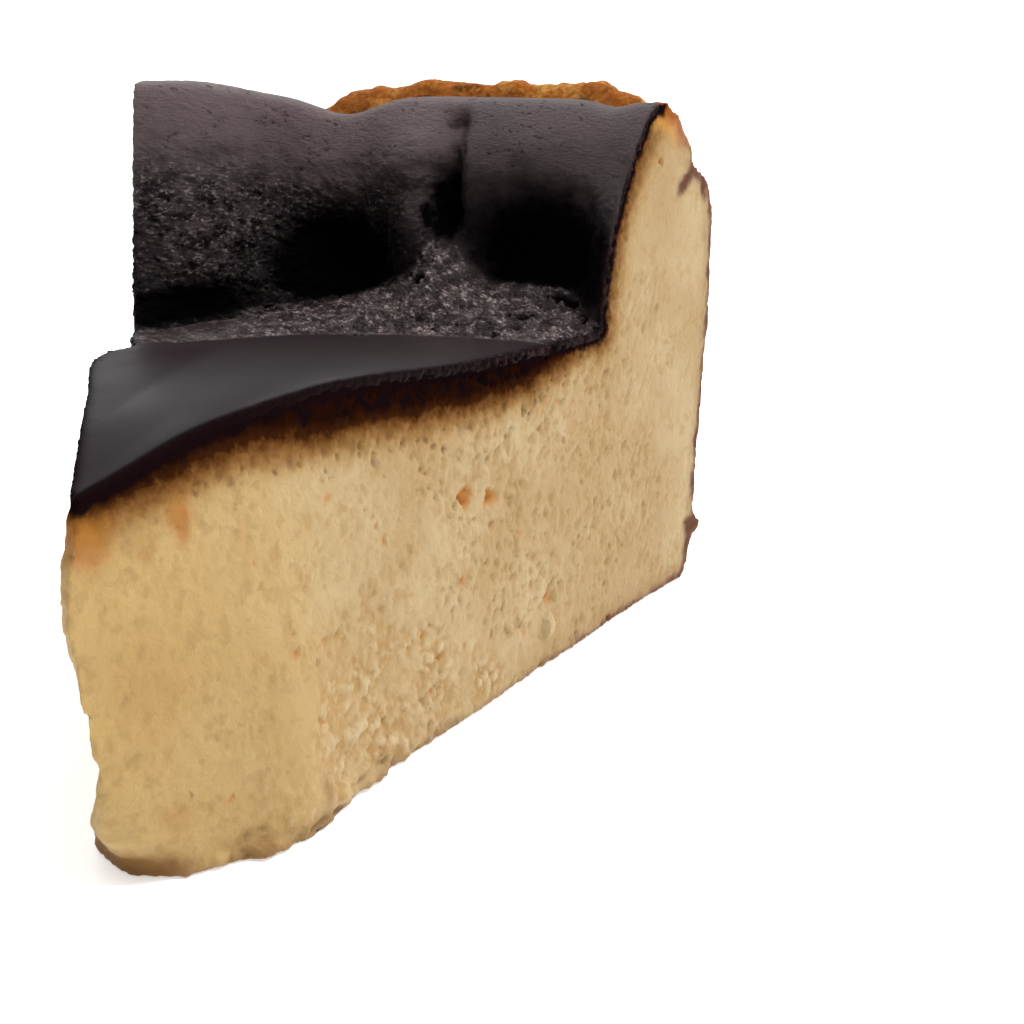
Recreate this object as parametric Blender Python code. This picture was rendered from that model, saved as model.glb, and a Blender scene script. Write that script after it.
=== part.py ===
"""A slice of basque cheesecake: an eighth of a round 20 cm cake, cut with a knife.

The slice is one solid. Its burnt top is level in the middle of the cake, drops into a shallow moat
and climbs a puffed rim in three pillows, with a deep crease between the last two. Behind the rim a
lumpy browned crust stands up along the baking paper, and the outer wall keeps the paper's pleats.

It is modelled round the axis of the whole cake: the two cuts meet at x = y = 0 and the slice points
along -Y. The functions work in millimetres and degrees, with a radius s from the cake's axis, a
height h above the base and an azimuth a from the middle of the slice, towards +X. The last step
moves the slice so that the middle of its base box is the origin, and writes metres.
"""

import bmesh
import bpy
import numpy as np

SLICE_NAME = "cheesecake_slice"
COLLECTION_NAME = "basque_cheesecake_slice"
METRES_PER_MM = 0.001

# The cake and the wedge that is cut from it.
HALF_ANGLE = 22.5
BASE_RADIUS = 97.4
BELLY_RADIUS = 99.95
BELLY_HEIGHT = 46.0
BASE_EDGE_ROUND = 1.2

# The level middle of the top.
PLATEAU_HEIGHT = 35.6
DOME_RISE = 1.3
DOME_RADIUS = 28.0
DOME_WIDTH = 22.0
TIP_DROP = 1.8
TIP_DROP_WIDTH = 9.0
RIGHT_RISE = 0.9
RIGHT_DOME_RISE = 0.8
RIGHT_DOME_RADIUS = 34.0
RIGHT_DOME_WIDTH = 13.0

# The lip where the smooth skin ends, and the moat behind it.
LIP_RADIUS = 65.5
LIP_RADIUS_LEFT = 55.0
MOAT_DEPTH = 0.9
MOAT_WIDTH = 3.0

# The rim: its foot, the tent of skin that climbs into the crease, and its crest.
FOOT_RADIUS = 77.2
FOOT_RADIUS_LEFT = 63.6
FOOT_RADIUS_RIGHT = 75.6
FOOT_RISE = 4.6
TENT_AZIMUTH = 5.7
TENT_RISE = 7.5
TENT_HALF_WIDTH = 2.0
WALL_TOP_RADIUS = 86.0
WALL_TOP_RADIUS_LEFT = 80.8
CREST_HEIGHT = 61.3
CREST_RISE_LEFT = 1.7
CREST_DIP = 2.3
CREST_DIP_AZIMUTH = -5.4
CREST_DIP_WIDTH = 3.6
CREST_SAG_RIGHT = 0.8
CREST_SAG_AZIMUTH = 18.3
CREST_SAG_WIDTH = 1.9
CREST_ROUND = 1.0
WALL_POWER = 2.0
WALL_POWER_LEFT = 1.15

# The pillows of the rim: creases between them and hollows under them.
# Each is its azimuth, height, half width in degrees, half height and depth.
CREASES = (
    (5.5, 48.3, 1.4, 5.4, 5.2),
    (6.1, 54.5, 0.9, 3.0, 1.8),
    (5.6, 58.0, 1.1, 2.0, 2.6),
    (-10.7, 50.0, 2.0, 8.0, 1.9),
    (-12.3, 49.2, 0.4, 3.0, 0.7),
)
HOLLOWS = (
    (-4.4, 42.6, 5.4, 6.2, 5.0),
    (14.3, 43.8, 6.4, 6.2, 4.6),
    (8.6, 44.6, 2.8, 4.6, 2.0),
    (-16.5, 37.6, 6.5, 3.0, 2.0),
    (-16.2, 54.6, 3.0, 1.2, 0.6),
)
PILLOWS = (
    (-17.0, 50.0, 4.2, 8.0, 1.8),
    (-15.6, 46.4, 2.0, 4.6, 0.9),
    (1.4, 54.8, 3.0, 4.4, 1.9),
    (3.0, 55.6, 1.8, 2.4, 1.0),
    (2.3, 47.2, 1.7, 4.4, 1.8),
    (5.1, 47.2, 0.4, 3.0, 1.4),
    (12.5, 56.0, 5.4, 4.4, 1.4),
)

# The browned crust that stands up behind the crest, and the shoulder that it ends in.
CRUST_HEIGHT = 62.8
CRUST_SLOPE = 1.2
CRUST_HEIGHT_LEFT = 59.4
CRUST_HEIGHT_RIGHT = 59.5
CRUST_START = 88.3
CRUST_RADIUS = 92.8
CRUST_GROOVE_RADIUS = 90.0
CRUST_GROOVE = 0.7
CRUST_LUMP = 0.22
CRUST_LUMP_PITCH = 6.3
SHOULDER_RADIUS = 95.2
SHOULDER_RADIUS_RIGHT = 92.4
SHOULDER_ROUND = 2.0
SHOULDER_DROP = 1.8

# The outer wall: a fold under the shoulder, pleats pressed in by the baking paper, a torn knob.
FOLD_HEIGHT = 54.3
FOLD_DEPTH = 1.8
FOLD_HALF_HEIGHT = 1.1
FOLD_STEP = 2.5
SHOULDER_POWER = 2.1
PLEAT_COUNT = 7
PLEAT_DEPTH = 1.5
PLEAT_SEED = 11
KNOB_HEIGHT = 6.6
KNOB_REACH = 2.6
KNOB_HALF_HEIGHT = 1.3

# The cuts. The right one flares out towards the bottom of the tip, and the left one bows.
FLARE_END = 88.0
FLARE_START = 21.0
FLARE = 6.4
FLARE_HEIGHT = 35.0
CHUNK_RADIUS = 25.0
CHUNK_REACH = 1.8
CHUNK_WIDTH = 6.0
BOW_RADIUS = 45.0
BOW_OUT = 1.7
BOW_WIDTH = 11.0
NOTCH_RADIUS = 55.0
NOTCH_DEPTH = 1.1
TIP_TRIM = 3.6
TIP_TRIM_WIDTH = 24.0
TIP_TRIM_BASE = 0.3
TIP_TRIM_TOP = 0.83
TIP_SWELL = 0.5
TIP_SWELL_HEIGHT = 24.5
TIP_SWELL_HALF_HEIGHT = 7.0

# The tip's edge: its radius at the top, half way up and at the worn bottom.
TIP_RADIUS_TOP = 4.6
TIP_RADIUS_MIDDLE = 2.8
TIP_RADIUS_BOTTOM = 6.6
TIP_MIDDLE_HEIGHT = 0.72
TIP_WORN_HEIGHT = 0.22
TIP_CORNER = 2.6

# The block that is bent into the slice: cells along, across and up, how much closer the rows
# lie near the top, and the part of its length where the moat, the rim's wall and the crown begin.
CELLS_ALONG = 48
CELLS_ACROSS = 32
CELLS_UP = 24
ROW_CROWDING = 1.3
MOAT_START = 0.5
WALL_START = 0.62
CROWN_START = 0.86

BURNT_SKIN_COLOUR = (0.028, 0.022, 0.022, 1.0)
CUSTARD_COLOUR = (0.60, 0.43, 0.22, 1.0)
CRUST_COLOUR = (0.35, 0.13, 0.03, 1.0)


def bump(x, centre, half_width):
    """A smooth hill of height 1 at the centre."""
    return np.exp(-(((x - centre) / half_width) ** 2))


def ease(x, start, end):
    """0 before the start, 1 after the end, smooth in between."""
    t = np.clip((x - start) / (end - start), 0.0, 1.0)
    return t * t * (3.0 - 2.0 * t)


def mix(first, second, share):
    return first + (second - first) * share


def leftness(a):
    """How far the azimuth is into the left part of the slice, where the rim is laid back."""
    return ease(-a, 6.0, 23.0)


def lip_radius(a):
    return mix(LIP_RADIUS, LIP_RADIUS_LEFT, ease(-a, -6.0, 24.0))


def foot_radius(a):
    radius = mix(FOOT_RADIUS, FOOT_RADIUS_LEFT, leftness(a))
    return mix(radius, FOOT_RADIUS_RIGHT, ease(a, 17.0, HALF_ANGLE))


def wall_top_radius(a):
    return mix(WALL_TOP_RADIUS, WALL_TOP_RADIUS_LEFT, leftness(a))


def crest_height(a):
    height = CREST_HEIGHT + CREST_RISE_LEFT * ease(-a, 10.0, 19.0)
    height = height - CREST_SAG_RIGHT * bump(a, CREST_SAG_AZIMUTH, CREST_SAG_WIDTH)
    return height - CREST_DIP * bump(a, CREST_DIP_AZIMUTH, CREST_DIP_WIDTH)


def foot_rise(a):
    """How much higher the moat is at the rim's foot than at the lip."""
    broad = FOOT_RISE * ease(a, -10.0, 4.0) * (1.0 - ease(a, 15.0, HALF_ANGLE))
    return broad + TENT_RISE * bump(a, TENT_AZIMUTH, TENT_HALF_WIDTH)


def floor_height(s, a):
    """The top inside the rim: the level middle, the lip and the moat."""
    height = PLATEAU_HEIGHT + DOME_RISE * bump(s, DOME_RADIUS, DOME_WIDTH)
    height = height - TIP_DROP * bump(s, 0.0, TIP_DROP_WIDTH)
    right_dome = RIGHT_DOME_RISE * bump(s, RIGHT_DOME_RADIUS, RIGHT_DOME_WIDTH)
    height = height + ease(a, 0.0, HALF_ANGLE) * (RIGHT_RISE * ease(s, 8.0, 20.0) + right_dome)
    lip = lip_radius(a)
    foot = foot_radius(a)
    climb = np.clip((s - lip) / (foot - lip), 0.0, 1.0)
    trough = bump(s, lip + MOAT_WIDTH, MOAT_WIDTH * 0.7) * (1.0 - ease(np.abs(a), 17.0, 21.5))
    return height - MOAT_DEPTH * trough + foot_rise(a) * climb**2


def crust_height(a):
    height = CRUST_HEIGHT - CRUST_SLOPE * (1.0 - ease(a, -6.0, 1.0))
    height = mix(height, CRUST_HEIGHT_LEFT, ease(-a, 5.5, 8.4))
    height = mix(height, CRUST_HEIGHT_RIGHT, ease(a, 15.5, HALF_ANGLE))
    turn = a * 2.0 * np.pi / CRUST_LUMP_PITCH
    lumps = np.sin(turn) + 0.8 * np.sin(1.7 * turn + 1.0) + 0.3 * np.sin(3.7 * turn + 2.0)
    return height + CRUST_LUMP * lumps


def shoulder_radius(a):
    return mix(SHOULDER_RADIUS, SHOULDER_RADIUS_RIGHT, ease(a, 15.0, HALF_ANGLE))


def crown_height(s, a):
    """The rim's top: the burnt crest, a shallow groove and the crust along the paper."""
    height = mix(crest_height(a), crust_height(a), ease(s, CRUST_START, CRUST_RADIUS))
    height = height - CRUST_GROOVE * bump(s, CRUST_GROOVE_RADIUS, 1.2)
    past = np.clip((s - shoulder_radius(a)) / SHOULDER_ROUND + 1.0, 0.0, 1.0)
    return height - SHOULDER_DROP * past**2


def soft_minimum(first, second, blend):
    return -blend * np.logaddexp(-first / blend, -second / blend)


def shoulder_height(a):
    """The height of the top's outer edge, where the outer wall ends."""
    s, h = top_section(np.ones_like(a), a)
    return h


def wall_push(h, a):
    """How far the rim's inner wall is pressed back: creases and hollows, less the pillows."""
    push = np.zeros_like(h + a)
    for azimuth, height, half_width, half_height, depth in CREASES + HOLLOWS:
        push = push + depth * bump(a, azimuth, half_width) * bump(h, height, half_height)
    for azimuth, height, half_width, half_height, reach in PILLOWS:
        push = push - reach * bump(a, azimuth, half_width) * bump(h, height, half_height)
    near_cut = ease(np.abs(a), HALF_ANGLE - 4.0, HALF_ANGLE)
    return push * (1.0 - near_cut)


def top_section(along, a):
    """The radius and height of the top, from the tip at 0 to the shoulder at 1."""
    foot = foot_radius(a)
    lip = lip_radius(a)
    wall_top = wall_top_radius(a)
    shoulder = shoulder_radius(a)
    foot_height = floor_height(foot, a)
    crest = crest_height(a)

    s = mix(TIP_RADIUS_TOP, lip, along / MOAT_START)
    in_moat = (along - MOAT_START) / (WALL_START - MOAT_START)
    s = np.where(along > MOAT_START, mix(lip, foot, in_moat), s)
    h = floor_height(s, a)

    # The wall climbs as a power of the way across it: steep at the right, straighter at the left.
    # Past its top it would go on rising, and the lower crown cuts it off in a rounded crest.
    climb = np.clip((along - WALL_START) / (CROWN_START - WALL_START), 0.0, None)
    power = mix(WALL_POWER, WALL_POWER_LEFT, leftness(a))
    wall_s = mix(foot, wall_top, np.minimum(climb, 1.0) ** power)
    wall_h = mix(foot_height, crest + CREST_ROUND, climb)
    in_crown = (along - CROWN_START) / (1.0 - CROWN_START)
    rim_s = np.where(in_crown > 0.0, mix(wall_top, shoulder, in_crown), wall_s)
    rim_h = soft_minimum(wall_h, crown_height(rim_s, a), CREST_ROUND)
    on_rim = along > WALL_START
    s = np.where(on_rim, rim_s, s)
    h = np.where(on_rim, rim_h, h)

    inner = ease(s, foot - 7.0, foot) * (1.0 - ease(s, wall_top, wall_top + 4.0))
    return s + wall_push(h, a) * inner, h


def outer_section(up, a):
    """The radius and height of the outer wall, from the base at 0 to the shoulder at 1."""
    top = shoulder_height(a)
    h = up * top
    rise = np.sin(np.clip(h / BELLY_HEIGHT, 0.0, 1.0) * np.pi / 2.0)
    s = BASE_RADIUS + (BELLY_RADIUS - BASE_RADIUS) * rise
    over = np.clip((h - BELLY_HEIGHT) / (top - BELLY_HEIGHT), 0.0, 1.0)
    s = mix(s, shoulder_radius(a), over**SHOULDER_POWER)
    s = s - BASE_EDGE_ROUND * np.exp(-h / BASE_EDGE_ROUND)
    fold_height = FOLD_HEIGHT + 1.3 * np.sin(a / 5.0 + 1.0)
    step = FOLD_STEP * ease(h, fold_height - 0.6, fold_height + 0.8) * (1.0 - over)
    fold = FOLD_DEPTH * bump(h, fold_height, FOLD_HALF_HEIGHT) + step
    s = s - fold * ease(a, -6.0, 14.0)
    knob = bump(h, KNOB_HEIGHT, KNOB_HALF_HEIGHT) * bump(a, HALF_ANGLE, 1.2)
    return s + KNOB_REACH * knob - paper_pleats(h, a), h


def paper_pleats(h, a):
    """Upright pleats of uneven width, each leaning and fading with height."""
    rng = np.random.default_rng(PLEAT_SEED)
    depth = np.zeros_like(h + a)
    fade = ease(h, 1.0, 8.0) * (1.0 - ease(h, 50.0, 57.0))
    for pleat in range(PLEAT_COUNT):
        spread = (pleat + 0.5) / PLEAT_COUNT * 2.0 - 1.0
        azimuth = spread * (HALF_ANGLE - 2.0) + rng.uniform(-1.2, 1.2)
        lean = rng.uniform(-0.05, 0.05)
        half_width = rng.uniform(0.9, 2.0)
        strength = rng.uniform(0.4, 1.0)
        depth = depth + strength * bump(a, azimuth + lean * (h - 25.0), half_width)
    near_cut = ease(np.abs(a), HALF_ANGLE - 2.5, HALF_ANGLE - 0.5)
    return PLEAT_DEPTH * depth * fade * (1.0 - near_cut)


def tip_section(up, across):
    """The radius of the tip's edge from the base at 0 to the top at 1."""
    radius = mix(TIP_RADIUS_MIDDLE, TIP_RADIUS_TOP, ease(up, TIP_MIDDLE_HEIGHT, 1.0))
    radius = mix(TIP_RADIUS_BOTTOM, radius, ease(up, 0.0, TIP_WORN_HEIGHT))
    corner = TIP_CORNER * (1.0 - ease(up, 0.0, 0.6)) * (2.0 * across - 1.0) ** 2
    return radius + corner


def section_point(along, across, up, a):
    """Radius and height of a point of the block, between the four edges of its section."""
    base_end = BASE_RADIUS - BASE_EDGE_ROUND
    base_tip = tip_section(0.0, across)
    foot = foot_radius(a)
    to_foot = np.clip(along / WALL_START, 0.0, 1.0)
    past_foot = np.clip((along - WALL_START) / (1.0 - WALL_START), 0.0, 1.0)
    base_s = mix(mix(base_tip, foot, to_foot), base_end, past_foot)
    top_s, top_h = top_section(along, a)
    outer_s, outer_h = outer_section(up, a)
    tip_line = mix(base_tip, TIP_RADIUS_TOP, up)
    outer_line = mix(base_end, shoulder_radius(a), up)
    s = mix(base_s, top_s, up)
    s = s + (1.0 - to_foot) * (tip_section(up, across) - tip_line)
    s = s + past_foot * (outer_s - outer_line)
    h = top_h * up + past_foot * (outer_h - shoulder_height(a) * up)
    return s, h


def right_flare(s, h):
    """How far the right cut stands out of its plane."""
    share = np.clip((FLARE_END - s) / (FLARE_END - FLARE_START), 0.0, 1.0)
    reach = FLARE * share * ease(s, -6.0, FLARE_START)
    reach = reach + CHUNK_REACH * bump(s, CHUNK_RADIUS, CHUNK_WIDTH)
    return reach * np.clip(1.0 - h / FLARE_HEIGHT, 0.0, 1.0)


def left_bow(s, h):
    """How far the left cut stands out of its plane, most of it near the top."""
    top_share = ease(h, 4.0, 30.0)
    bow = BOW_OUT * bump(s, BOW_RADIUS, BOW_WIDTH) * (1.0 - ease(s, 51.0, 54.0))
    notch = NOTCH_DEPTH * bump(s, NOTCH_RADIUS, 3.5)
    swell = 1.0 - TIP_SWELL * bump((h - TIP_SWELL_HEIGHT) ** 2, 0.0, TIP_SWELL_HALF_HEIGHT**2)
    ends = mix(TIP_TRIM_BASE, 1.0, ease(h, 0.0, 14.0)) * mix(1.0, TIP_TRIM_TOP, ease(h, 22.0, 32.0))
    trim = TIP_TRIM * bump(s, 0.0, TIP_TRIM_WIDTH) * swell * ends
    return (bow - notch) * top_share * (1.0 - ease(h, 37.0, 41.0)) - trim


def slice_points(block):
    """Bend points of a unit block (across, along, up) into the slice, in millimetres."""
    across, along, up = block.T
    up = 1.0 - (1.0 - up) ** ROW_CROWDING
    a = mix(-HALF_ANGLE, HALF_ANGLE, across)
    s, h = section_point(along, across, up, a)
    angle = np.radians(a)
    half = np.radians(HALF_ANGLE)
    right = right_flare(s, h) * across
    left = left_bow(s, h) * (1.0 - across)
    x = s * np.sin(angle) + (right - left) * np.cos(half)
    y = s * np.cos(angle) - (right + left) * np.sin(half)
    return np.column_stack((x, y, h))


def named_material(name, colour, roughness):
    material = bpy.data.materials.new(name)
    material.use_nodes = True
    shader = material.node_tree.nodes["Principled BSDF"]
    shader.inputs["Base Color"].default_value = colour
    shader.inputs["Roughness"].default_value = roughness
    shader.inputs["Metallic"].default_value = 0.0
    material.diffuse_color = colour
    return material


def edges_along(bm, axis):
    """The edges of a block that run along one axis."""
    found = []
    for edge in bm.edges:
        step = edge.verts[1].co - edge.verts[0].co
        if abs(step[axis]) > 0.5 * step.length:
            found.append(edge)
    return found


def unit_block():
    """A cube from 0 to 1, divided into cells."""
    bm = bmesh.new()
    bmesh.ops.create_cube(bm, size=1.0)
    bmesh.ops.translate(bm, vec=(0.5, 0.5, 0.5), verts=bm.verts)
    for axis, cells in enumerate((CELLS_ACROSS, CELLS_ALONG, CELLS_UP)):
        bmesh.ops.subdivide_edges(bm, edges=edges_along(bm, axis), cuts=cells - 1)
    return bm


def paint_faces(bm):
    """Slot 0 is the cut custard, 1 the burnt top and 2 the outer crust and the base."""
    for face in bm.faces:
        centre = face.calc_center_median()
        if centre.z > 0.999:
            face.material_index = 1
        elif centre.y > 0.999 or centre.z < 0.001:
            face.material_index = 2


def merge_base(bm):
    """The base is one flat face."""
    base = [face for face in bm.faces if face.calc_center_median().z < 0.001]
    bmesh.ops.dissolve_faces(bm, faces=base, use_verts=False)


def build_slice():
    bm = unit_block()
    paint_faces(bm)
    merge_base(bm)
    block = np.array([vertex.co[:] for vertex in bm.verts])
    points = slice_points(block)
    low = points.min(axis=0)
    high = points.max(axis=0)
    points -= (*((low + high) / 2.0)[:2], low[2])
    for vertex, point in zip(bm.verts, points):
        vertex.co = point * METRES_PER_MM
    mesh = bpy.data.meshes.new(SLICE_NAME)
    bm.to_mesh(mesh)
    bm.free()
    slice_object = bpy.data.objects.new(SLICE_NAME, mesh)
    mesh.materials.append(named_material("cut_custard", CUSTARD_COLOUR, 0.6))
    mesh.materials.append(named_material("burnt_skin", BURNT_SKIN_COLOUR, 0.45))
    mesh.materials.append(named_material("browned_crust", CRUST_COLOUR, 0.6))
    return slice_object


def main():
    for old in list(bpy.data.objects):
        bpy.data.objects.remove(old, do_unlink=True)
    collection = bpy.data.collections.new(COLLECTION_NAME)
    bpy.context.scene.collection.children.link(collection)
    collection.objects.link(build_slice())


main()
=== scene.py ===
"""The looks of a slice of basque cheesecake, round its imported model.

The scene repeats the slice's shape from its named sizes, makes it again in fine even cells and
presses the real surface into it. What each point is made of goes along as marks, which the materials
turn into colour, gloss and fine grain.

Lengths are in millimetres and angles in degrees until the last step writes metres. A point of the
cake has a radius s from its axis, a height h above its base and an azimuth a from the middle of the
slice, towards +X.
"""

import bmesh
import bpy
import numpy as np
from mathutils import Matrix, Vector, noise
from mathutils.bvhtree import BVHTree


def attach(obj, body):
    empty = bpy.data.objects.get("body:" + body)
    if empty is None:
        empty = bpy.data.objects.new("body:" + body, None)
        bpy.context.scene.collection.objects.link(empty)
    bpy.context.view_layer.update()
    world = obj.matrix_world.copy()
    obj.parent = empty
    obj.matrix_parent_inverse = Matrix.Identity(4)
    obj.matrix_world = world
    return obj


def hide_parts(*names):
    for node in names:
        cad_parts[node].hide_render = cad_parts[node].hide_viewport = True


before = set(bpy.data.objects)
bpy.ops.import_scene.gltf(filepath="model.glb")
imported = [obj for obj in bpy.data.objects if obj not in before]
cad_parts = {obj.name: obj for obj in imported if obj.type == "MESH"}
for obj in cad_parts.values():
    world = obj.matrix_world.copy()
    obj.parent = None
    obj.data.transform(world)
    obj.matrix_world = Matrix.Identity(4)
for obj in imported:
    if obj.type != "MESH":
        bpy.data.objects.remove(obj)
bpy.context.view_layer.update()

NODE_NAME = "cheesecake_slice"
BODY_NAME = "baked_custard_body"
SKIN_NAME = "burnt_top_skin"
METRES_PER_MM = 0.001

# The cake and the wedge that is cut from it.
HALF_ANGLE = 22.5
BASE_RADIUS = 97.4
BELLY_RADIUS = 99.95
BELLY_HEIGHT = 46.0
BASE_EDGE_ROUND = 1.2

# The level middle of the top.
PLATEAU_HEIGHT = 35.6
RIGHT_RISE = 0.9
# Hills and hollows along the middle, and one more along the right cut: radius, half width, rise.
DOMES = ((28.0, 22.0, 1.3), (0.0, 9.0, -1.8))
RIGHT_DOME = (34.0, 13.0, 0.8)

# The lip where the smooth skin ends, and the moat behind it.
LIP_RADIUS = 65.5
LIP_RADIUS_LEFT = 55.0
MOAT_DEPTH = 0.9
MOAT_WIDTH = 3.0

# The rim: its foot, the tent of skin that climbs into the crease, and its crest.
FOOT_RADIUS = 77.2
FOOT_RADIUS_LEFT = 63.6
FOOT_RADIUS_RIGHT = 75.6
FOOT_RISE = 4.6
TENT_AZIMUTH = 5.7
TENT_RISE = 7.5
TENT_HALF_WIDTH = 2.0
WALL_TOP_RADIUS = 86.0
WALL_TOP_RADIUS_LEFT = 80.8
CREST_HEIGHT = 61.3
CREST_RISE_LEFT = 1.7
CREST_ROUND = 1.0
WALL_POWER = 2.0
WALL_POWER_LEFT = 1.15
# Dips of the crest: azimuth, half width in degrees and depth.
CREST_DIPS = ((18.3, 1.9, 0.8), (-5.4, 3.6, 2.3))

# The pillows of the rim: creases between them and hollows under them.
# Each is its azimuth, height, half width in degrees, half height and depth.
CREASES = (
    (5.5, 48.3, 1.4, 5.4, 5.2),
    (6.1, 54.5, 0.9, 3.0, 1.8),
    (5.6, 58.0, 1.1, 2.0, 2.6),
    (-10.7, 50.0, 2.0, 8.0, 1.9),
    (-12.3, 49.2, 0.4, 3.0, 0.7),
)
HOLLOWS = (
    (-4.4, 42.6, 5.4, 6.2, 5.0),
    (14.3, 43.8, 6.4, 6.2, 4.6),
    (8.6, 44.6, 2.8, 4.6, 2.0),
    (-16.5, 37.6, 6.5, 3.0, 2.0),
    (-16.2, 54.6, 3.0, 1.2, 0.6),
)
PILLOWS = (
    (-17.0, 50.0, 4.2, 8.0, 1.8),
    (-15.6, 46.4, 2.0, 4.6, 0.9),
    (1.4, 54.8, 3.0, 4.4, 1.9),
    (3.0, 55.6, 1.8, 2.4, 1.0),
    (2.3, 47.2, 1.7, 4.4, 1.8),
    (5.1, 47.2, 0.4, 3.0, 1.4),
    (12.5, 56.0, 5.4, 4.4, 1.4),
)

# The browned crust that stands up behind the crest, and the shoulder that it ends in.
CRUST_HEIGHT = 62.8
CRUST_SLOPE = 1.2
CRUST_HEIGHT_LEFT = 59.4
CRUST_HEIGHT_RIGHT = 59.5
CRUST_START = 88.3
CRUST_RADIUS = 92.8
CRUST_GROOVE_RADIUS = 90.0
CRUST_GROOVE = 0.7
CRUST_LUMP = 0.22
CRUST_LUMP_PITCH = 6.3
SHOULDER_RADIUS = 95.2
SHOULDER_RADIUS_RIGHT = 92.4
SHOULDER_ROUND = 2.0
SHOULDER_DROP = 1.8

# The outer wall: a fold under the shoulder, pleats pressed in by the baking paper, a torn knob.
FOLD_HEIGHT = 54.3
FOLD_DEPTH = 1.8
FOLD_HALF_HEIGHT = 1.1
FOLD_STEP = 2.5
SHOULDER_POWER = 2.1
PLEAT_COUNT = 7
PLEAT_DEPTH = 1.5
PLEAT_SEED = 11
KNOB_HEIGHT = 6.6
KNOB_REACH = 2.6
KNOB_HALF_HEIGHT = 1.3

# The cuts. The right one flares out towards the bottom of the tip, and the left one bows.
FLARE_END = 88.0
FLARE_START = 21.0
FLARE = 6.4
FLARE_HEIGHT = 35.0
CHUNK_RADIUS = 21.0
CHUNK_REACH = 1.8
CHUNK_WIDTH = 6.0
BOW_RADIUS = 45.0
BOW_OUT = 1.7
BOW_WIDTH = 11.0
NOTCH_RADIUS = 55.0
NOTCH_DEPTH = 1.1
TIP_TRIM = 3.6
TIP_TRIM_WIDTH = 24.0
TIP_TRIM_BASE = 0.3
TIP_TRIM_TOP = 0.83
TIP_SWELL = 0.5
TIP_SWELL_HEIGHT = 24.5
TIP_SWELL_HALF_HEIGHT = 7.0

# The tip's edge: its radius at the top, half way up and at the worn bottom.
TIP_RADIUS_TOP = 4.6
TIP_RADIUS_MIDDLE = 2.8
TIP_RADIUS_BOTTOM = 6.6
TIP_MIDDLE_HEIGHT = 0.72
TIP_WORN_HEIGHT = 0.22
TIP_CORNER = 2.6

# The part of the block's length where the moat, the rim's wall and the crown begin.
MOAT_START = 0.5
WALL_START = 0.62
CROWN_START = 0.86

# Cells of the smooth block and of the skin's sheet, and of the fine meshes laid over them.
CELLS_ACROSS = 90
CELLS_ALONG = 190
CELLS_UP = 60
BODY_CELL = 0.31
SKIN_CELL = 0.25
TRIANGLE_LIMIT = 197000

# The burnt skin is a thin shell, and the custard reaches a little way up into it.
SKIN_THICKNESS = 1.25
SKIN_OVERLAP = 0.5

# A mask below this doesn't count, and a depth that may be negative is kept with this added.
FAINT = 0.02
DEPTH_ADDED = 10.0

# The camera that took the photograph, from the cake's axis: place, heading and tilt down.
CAMERA_PLACE = (62.3, -84.9, 68.4)
CAMERA_HEADING = -15.8
CAMERA_TILT = 18.8
SENSOR_WIDTH = 36.0
FOCAL_LENGTH = 49.2
CLIP_START = 0.005

# Custard, from pale curds to browned, in linear light.
CUSTARD = (0.370, 0.248, 0.106)
CUSTARD_PALE = (0.440, 0.326, 0.166)
CUSTARD_WARM = (0.460, 0.300, 0.098)
CUSTARD_DEEP = (0.340, 0.204, 0.070)
# Dents and crevices between curds: a warmer custard, and painted shade.
PIT = (0.360, 0.205, 0.062)
CURD = (0.495, 0.380, 0.212)
STAIN = (0.43, 0.17, 0.025)
# Painted shade deep in the torn holes.
HOLE_SHADE = (0.14, 0.04, 0.008)
BLOTCH = (0.34, 0.138, 0.024)
TIN_BROWN = (0.175, 0.078, 0.023)
EDGE_TAN = (0.26, 0.160, 0.072)
# Under the skin the custard goes from charred through caramel to honey.
CHAR = (0.0060, 0.0024, 0.0030)
CARAMEL_BLACK = (0.0125, 0.0032, 0.0015)
CARAMEL_DARK = (0.036, 0.0105, 0.0026)
CARAMEL = (0.127, 0.050, 0.0114)
TOFFEE = (0.225, 0.110, 0.028)
HONEY = (0.34, 0.205, 0.070)
# Burnt skin, and the light and shade painted on it, from the shaded hollows to the lit crest.
# Near black, painted as shade in hollows, gaps, cracks and shadowed patches.
SHADE_BLACK = (0.0012, 0.0007, 0.0009)
SATIN = (0.0150, 0.0112, 0.0122)
# Darker and more mauve at the back of the level middle: a painted reflection of the dark wall.
SATIN_WALL_REFLECTION = (0.0140, 0.0080, 0.0092)
BURNT = (0.0150, 0.0078, 0.0090)
# Dust on the wall, and painted light from above that lightens the crest.
DUST_AND_TOP_LIGHT = (0.080, 0.051, 0.051)
# Painted glints, in the moat and low on the wall.
PAINTED_GLINT = (0.60, 0.49, 0.45)
SHEEN = (0.98, 0.88, 0.90)
MOAT = (0.084, 0.062, 0.063)
TORN_EDGE = (0.030, 0.0150, 0.0135)
# Crust and base.
CRUST_ORANGE = (0.27, 0.080, 0.016)
CRUST_GOLD = (0.47, 0.225, 0.055)
CRUST_DARK = (0.085, 0.030, 0.008)
SIDE_TAN = (0.27, 0.143, 0.062)
SIDE_BROWN = (0.13, 0.055, 0.030)
RIND = (0.115, 0.047, 0.029)
FLOOR = (0.93, 0.925, 0.91)
FLOOR_COOL = (0.90, 0.90, 0.895)
FLOOR_GLOW = 0.52
FLOOR_HALF_METRES = 3.0
FLOOR_DROP_METRES = 0.0002

# The sky's brightness along two directions: where a step begins and ends, and its two values.
UP = (0.0, 0.0, 1.0)
SKY_OVERHEAD = (0.1, 1.0, 1.05, 2.2)
BEHIND_SLICE = (0.1, 0.99, 0.0)
SKY_BEHIND = (-0.7, 0.6, 0.12, 1.0)
# One soft lamp over the slice.
LAMP_PLACE = (250.0, 0.0, 640.0)
LAMP_AIM = (0.0, 0.0, 30.0)
LAMP_SIZE = 220.0
LAMP_WATTS = 3.0

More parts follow.
